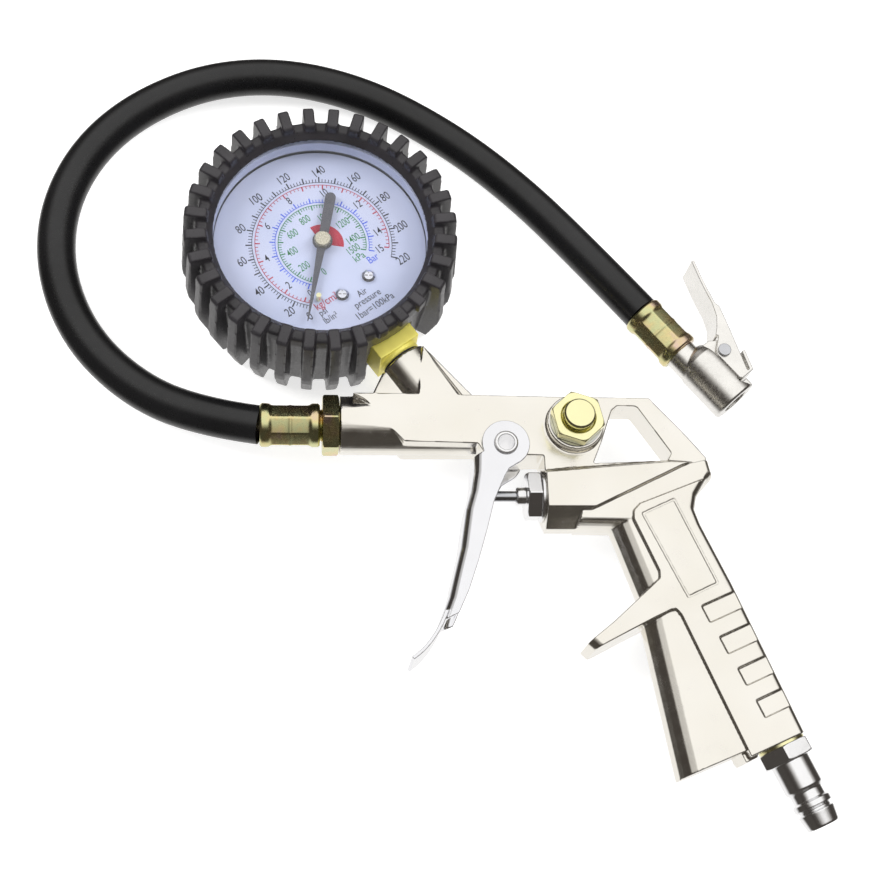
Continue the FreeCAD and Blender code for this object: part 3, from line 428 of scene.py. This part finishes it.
def ferrule(name, start, direction, node):
    """Crimped sleeve: waisted, with two rows of pressed flats and rolled ends."""
    length = SLEEVE_LENGTH
    rings = 88
    sides = 96
    flats = 8
    bm = bmesh.new()
    axis = Vector(direction).normalized()
    side = axis.cross(Vector((0, 0, 1))).normalized()
    other = axis.cross(side)
    origin = at(*start)

    def point(s, a, radius):
        return bm.verts.new(origin + (axis * s + (side * math.cos(a) + other * math.sin(a))
                                      * radius) * MM)

    rows = []
    for i in range(rings + 1):
        s = length * i / rings
        edge = min(s, length - s)
        base = 6.45 - 0.45 * math.exp(-(edge / 0.35) ** 2)
        crimp = 1.0 / (1.0 + math.exp(-(s - 3.0) / 0.25)) * 1.0 / (1.0 + math.exp((s - 14.6) / 0.25))
        rib = 0.16 * math.exp(-((s - 8.8) / 0.5) ** 2)
        row = []
        for j in range(sides):
            a = 2 * math.pi * j / sides
            local = (a * flats / (2 * math.pi)) % 1.0 - 0.5
            flat = math.cos(math.pi / flats) / math.cos(local * 2 * math.pi / flats)
            radius = base - crimp * (0.42 - rib) + crimp * (flat - 0.965) * 5.6
            row.append(point(s, a, radius))
        rows.append(row)
    # the bore, from the far end back to the start
    for s, radius in ((length, 3.35), (length - 1.0, 3.35), (length - 1.0, 5.5), (0.4, 5.5),
                      (0.0, 5.8)):
        rows.append([point(s, 2 * math.pi * j / sides, radius) for j in range(sides)])
    for i in range(len(rows)):
        first, second = rows[i], rows[(i + 1) % len(rows)]
        for j in range(sides):
            k = (j + 1) % sides
            bm.faces.new((first[j], first[k], second[k], second[j]))
    bmesh.ops.recalc_face_normals(bm, faces=bm.faces)
    mesh = bpy.data.meshes.new(name)
    bm.to_mesh(mesh)
    bm.free()
    mesh.shade_smooth()
    obj = new_object(name, mesh)
    mount(obj, "gun", "yellow_zinc", replaces=[node])
    return obj


ferrule("crimped_sleeve_gun", (-70.9, 8.1, 0.0), (1, 0, 0), "ferrule_gun_end")
sleeve_chuck = ferrule("crimped_sleeve_chuck",
                       (CHUCK_SHOULDER[0] - CHUCK_AXIS[0] * SLEEVE_LENGTH,
                        CHUCK_SHOULDER[1] - CHUCK_AXIS[1] * SLEEVE_LENGTH, CHUCK_Z),
                       CHUCK_AXIS, "ferrule_chuck_end")


# ---- dial ----------------------------------------------------------------------

def polar(radius, degrees):
    a = math.radians(degrees)
    return HUB + Vector((radius * math.cos(a), radius * math.sin(a)))


PRINT_LOW = DIAL_Z - 0.005
PRINT_HIGH = DIAL_Z + 0.035


def prism(bm, points):
    """Closed thin prism on the dial from XY points in order."""
    low = [bm.verts.new(at(p[0], p[1], PRINT_LOW)) for p in points]
    high = [bm.verts.new(at(p[0], p[1], PRINT_HIGH)) for p in points]
    count = len(points)
    bm.faces.new(high)
    bm.faces.new(list(reversed(low)))
    for i in range(count):
        j = (i + 1) % count
        bm.faces.new((low[i], low[j], high[j], high[i]))


def tick(bm, angle, inner, outer, width):
    a = math.radians(angle)
    across = Vector((-math.sin(a), math.cos(a))) * (width / 2)
    low, high = polar(inner, angle), polar(outer, angle)
    prism(bm, [low - across, high - across, high + across, low + across])


def arc(bm, radius, width, first, last):
    """Thin ring segment, from one angle clockwise to another."""
    steps = max(2, int(abs(first - last) / 3))
    rows = []
    for i in range(steps + 1):
        angle = first + (last - first) * i / steps
        inner, outer = polar(radius - width / 2, angle), polar(radius + width / 2, angle)
        rows.append([bm.verts.new(at(p.x, p.y, z)) for p, z in (
            (inner, PRINT_LOW), (outer, PRINT_LOW), (outer, PRINT_HIGH), (inner, PRINT_HIGH))])
    for first_row, second_row in zip(rows[:-1], rows[1:]):
        for i in range(4):
            j = (i + 1) % 4
            bm.faces.new((first_row[i], first_row[j], second_row[j], second_row[i]))
    bm.faces.new(rows[0])
    bm.faces.new(list(reversed(rows[-1])))


def scale_angle(psi):
    return PSI_ZERO - DEG_PER_PSI * psi


def lettering(text, place, height, squeeze):
    """Mesh of generic lettering on the dial, centred on a place, in the dial's own upright."""
    curve = bpy.data.curves.new("lettering", "FONT")
    curve.body = text
    curve.align_x = "CENTER"
    curve.align_y = "CENTER"
    curve.size = height / 0.70 * MM
    curve.offset = 0.002 * height * MM
    curve.extrude = 0.02 * MM
    curve.resolution_u = 4
    obj = new_object("lettering", curve)
    spot = at(place[0], place[1], DIAL_Z + 0.015)
    obj.matrix_world = (Matrix.Translation(spot)
                        @ Matrix.Rotation(math.radians(TEXT_TURN), 4, "Z")
                        @ Matrix.Diagonal((squeeze, 1.0, 1.0, 1.0)))
    bpy.context.view_layer.update()
    graph = bpy.context.evaluated_depsgraph_get()
    mesh = bpy.data.meshes.new_from_object(obj.evaluated_get(graph))
    mesh.transform(obj.matrix_world)
    bpy.data.objects.remove(obj)
    return mesh


def printed(name, bm, letters, material):
    """One printed layer: its ticks and arcs, with its lettering joined in."""
    for mesh in letters:
        bm.from_mesh(mesh)
        bpy.data.meshes.remove(mesh)
    bmesh.ops.remove_doubles(bm, verts=bm.verts, dist=1e-8)
    bmesh.ops.recalc_face_normals(bm, faces=bm.faces)
    mesh = bpy.data.meshes.new(name)
    bm.to_mesh(mesh)
    bm.free()
    mount(new_object(name, mesh), "gun", "dial_white", material)


def ticks(bm, marks, psi_per_mark, ring, lengths, widths):
    """Scale marks outwards from a ring, or inwards where the lengths are negative. Lengths and
    widths are of major and minor marks, and every fifth mark is a major one."""
    for i in marks:
        kind = 0 if i % 5 == 0 else 1
        end = ring + lengths[kind]
        tick(bm, scale_angle(i * psi_per_mark), min(ring, end), max(ring, end), widths[kind])


def make_dial():
    # psi scale, the black numbers and the notes
    bm = bmesh.new()
    arc(bm, PSI_RING, 0.17, REST_ANGLE + 360, scale_angle(220))
    ticks(bm, range(5, 111), 2, PSI_RING, (1.9, 1.1), OUTER_TICKS)
    letters = [lettering(str(psi), polar(PSI_LABELS, scale_angle(psi)), 2.75, 0.72)
               for psi in range(20, 221, 20)]
    letters.append(lettering("0", polar(24.4, -98.8), 2.75, 0.72))
    for load in range(2, 15, 2):
        spot = polar(KGF_LABELS, scale_angle(load * PSI_PER_KGF) - 1.5)
        letters.append(lettering(str(load), spot, 2.5, 0.72))
    letters.append(lettering("15", polar(KGF_LABELS, -4.7), 2.5, 0.72))
    letters.append(lettering("0", polar(17.0, -102.2), 2.3, 0.72))
    for text, x, y, height, squeeze in (
            ("Air", 11.7, -16.0, 2.2, 0.76), ("pressure", 13.3, -18.0, 2.2, 0.84),
            ("1bar=100kPa", 15.4, -20.5, 2.2, 0.82), ("psi", 0.1, -22.6, 2.1, 0.80),
            ("lb/in²", 2.4, -24.5, 2.1, 0.78)):
        letters.append(lettering(text, (HUB.x + x, HUB.y + y), height, squeeze))
    printed("dial_print_black", bm, letters, "ink_black")
    # kilogram-force scale
    bm = bmesh.new()
    arc(bm, KGF_RING, 0.20, REST_ANGLE + 360, scale_angle(15 * PSI_PER_KGF))
    ticks(bm, range(4, 76), 0.2 * PSI_PER_KGF, KGF_RING, (-1.5, -0.9), OUTER_TICKS)
    unit = lettering("kg/cm²", (HUB.x + 1.1, HUB.y - 19.1), 2.5, 0.82)
    printed("dial_print_red", bm, [unit], "ink_red")
    # bar scale
    bm = bmesh.new()
    arc(bm, BAR_RING, 0.20, REST_ANGLE + 360, scale_angle(15 * PSI_PER_BAR))
    ticks(bm, range(4, 76), 0.2 * PSI_PER_BAR, BAR_RING, (1.7, 1.0), INNER_TICKS)
    unit = lettering("Bar", (HUB.x + 15.1, HUB.y - 4.6), 2.4, 0.76)
    printed("dial_print_blue", bm, [unit], "ink_blue")
    # kilopascal scale
    bm = bmesh.new()
    arc(bm, KPA_RING, 0.20, REST_ANGLE + 360, scale_angle(15 * PSI_PER_BAR))
    ticks(bm, range(4, 76), 0.2 * PSI_PER_BAR, KPA_RING, (-1.6, -1.0), INNER_TICKS)
    green = [lettering(str(kpa), polar(KPA_LABELS, scale_angle(kpa / 100 * PSI_PER_BAR)), 2.45, 0.64)
             for kpa in range(0, 1401, 200)]
    green.append(lettering("1500", polar(KPA_LABELS, -10.5), 2.45, 0.64))
    green.append(lettering("kPa", (HUB.x + 11.0, HUB.y - 4.2), 2.4, 0.78))
    printed("dial_print_green", bm, green, "ink_green")
    # red zone round the hub
    bm = bmesh.new()
    arc(bm, 4.1, 4.8, 124.5, -8.2)
    printed("dial_print_zone", bm, [], "ink_red")


make_dial()


# ---- stage ---------------------------------------------------------------------

def make_stage():
    bm = bmesh.new()
    half = 3.0
    corners = [bm.verts.new((x, y, -0.0002)) for x, y in
               ((-half, -half), (half, -half), (half, half), (-half, half))]
    bm.faces.new(corners)
    mesh = bpy.data.meshes.new("floor")
    bm.to_mesh(mesh)
    bm.free()
    floor = new_object("floor", mesh)
    material = finish("floor_white", around((0.55, 0.55, 0.55), 0.005), 0.0, (0.6, 0.7), 20, 400,
                      (0.01, 0.01))
    shader = material.node_tree.nodes["Principled BSDF"]
    shader.inputs["Emission Color"].default_value = (1.0, 1.0, 1.0, 1.0)
    shader.inputs["Emission Strength"].default_value = 0.72
    paint(floor, material)
    floor.visible_glossy = False


def area_light(name, place, target, size, power, colour=(1, 1, 1)):
    data = bpy.data.lights.new(name, "AREA")
    data.shape = "RECTANGLE"
    data.size, data.size_y = size
    data.energy = power
    data.color = colour
    obj = bpy.data.objects.new(name, data)
    bpy.context.collection.objects.link(obj)
    obj.visible_glossy = False
    direction = Vector(target) - Vector(place)
    obj.matrix_world = (Matrix.Translation(place)
                        @ direction.to_track_quat("-Z", "Y").to_matrix().to_4x4())


def make_light():
    make_stage()
    world = bpy.data.worlds.new("studio")
    bpy.context.scene.world = world
    world.use_nodes = True
    nodes = world.node_tree.nodes
    links = world.node_tree.links
    nodes.clear()
    out = nodes.new("ShaderNodeOutputWorld")
    back = nodes.new("ShaderNodeBackground")
    coords = nodes.new("ShaderNodeTexCoord")
    toward = nodes.new("ShaderNodeVectorMath")
    toward.operation = "DOT_PRODUCT"
    toward.inputs[1].default_value = Vector((0.05, 0.36, 0.93)).normalized()
    links.new(coords.outputs["Generated"], toward.inputs[0])
    above = ramp(nodes, links, toward.outputs["Value"], [
        (0.0, (0.06, 0.054, 0.048)), (0.30, (0.045, 0.039, 0.035)),
        (0.52, (0.08, 0.072, 0.065)), (0.70, (0.50, 0.485, 0.465)), (0.82, (0.97, 0.96, 0.945))])
    down = nodes.new("ShaderNodeVectorMath")
    down.operation = "DOT_PRODUCT"
    down.inputs[1].default_value = (0.0, 0.0, -1.0)
    links.new(coords.outputs["Generated"], down.inputs[0])
    below = ramp(nodes, links, down.outputs["Value"], [
        (0.42, (0.0, 0.0, 0.0)), (0.72, (0.85, 0.845, 0.84))])
    both = nodes.new("ShaderNodeVectorMath")
    both.operation = "ADD"
    links.new(above, both.inputs[0])
    links.new(below, both.inputs[1])
    links.new(both.outputs["Vector"], back.inputs["Color"])
    back.inputs["Strength"].default_value = 1.08
    seen = nodes.new("ShaderNodeBackground")
    seen.inputs["Color"].default_value = (0.92, 0.92, 0.925, 1.0)
    path = nodes.new("ShaderNodeLightPath")
    mix = nodes.new("ShaderNodeMixShader")
    links.new(path.outputs["Is Camera Ray"], mix.inputs["Fac"])
    links.new(back.outputs["Background"], mix.inputs[1])
    links.new(seen.outputs["Background"], mix.inputs[2])
    links.new(mix.outputs["Shader"], out.inputs["Surface"])
    area_light("left", (-1.0, 0.3, 0.9), (0, 0.02, 0), (0.5, 0.9), 13.0)
    area_light("right", (0.95, 0.35, 0.9), (0, 0.02, 0), (0.5, 0.9), 11.0)
    area_light("front", (0.1, -1.0, 0.9), (0, 0, 0), (0.8, 0.4), 8.0)


make_light()
bpy.context.scene.view_settings.view_transform = "Standard"
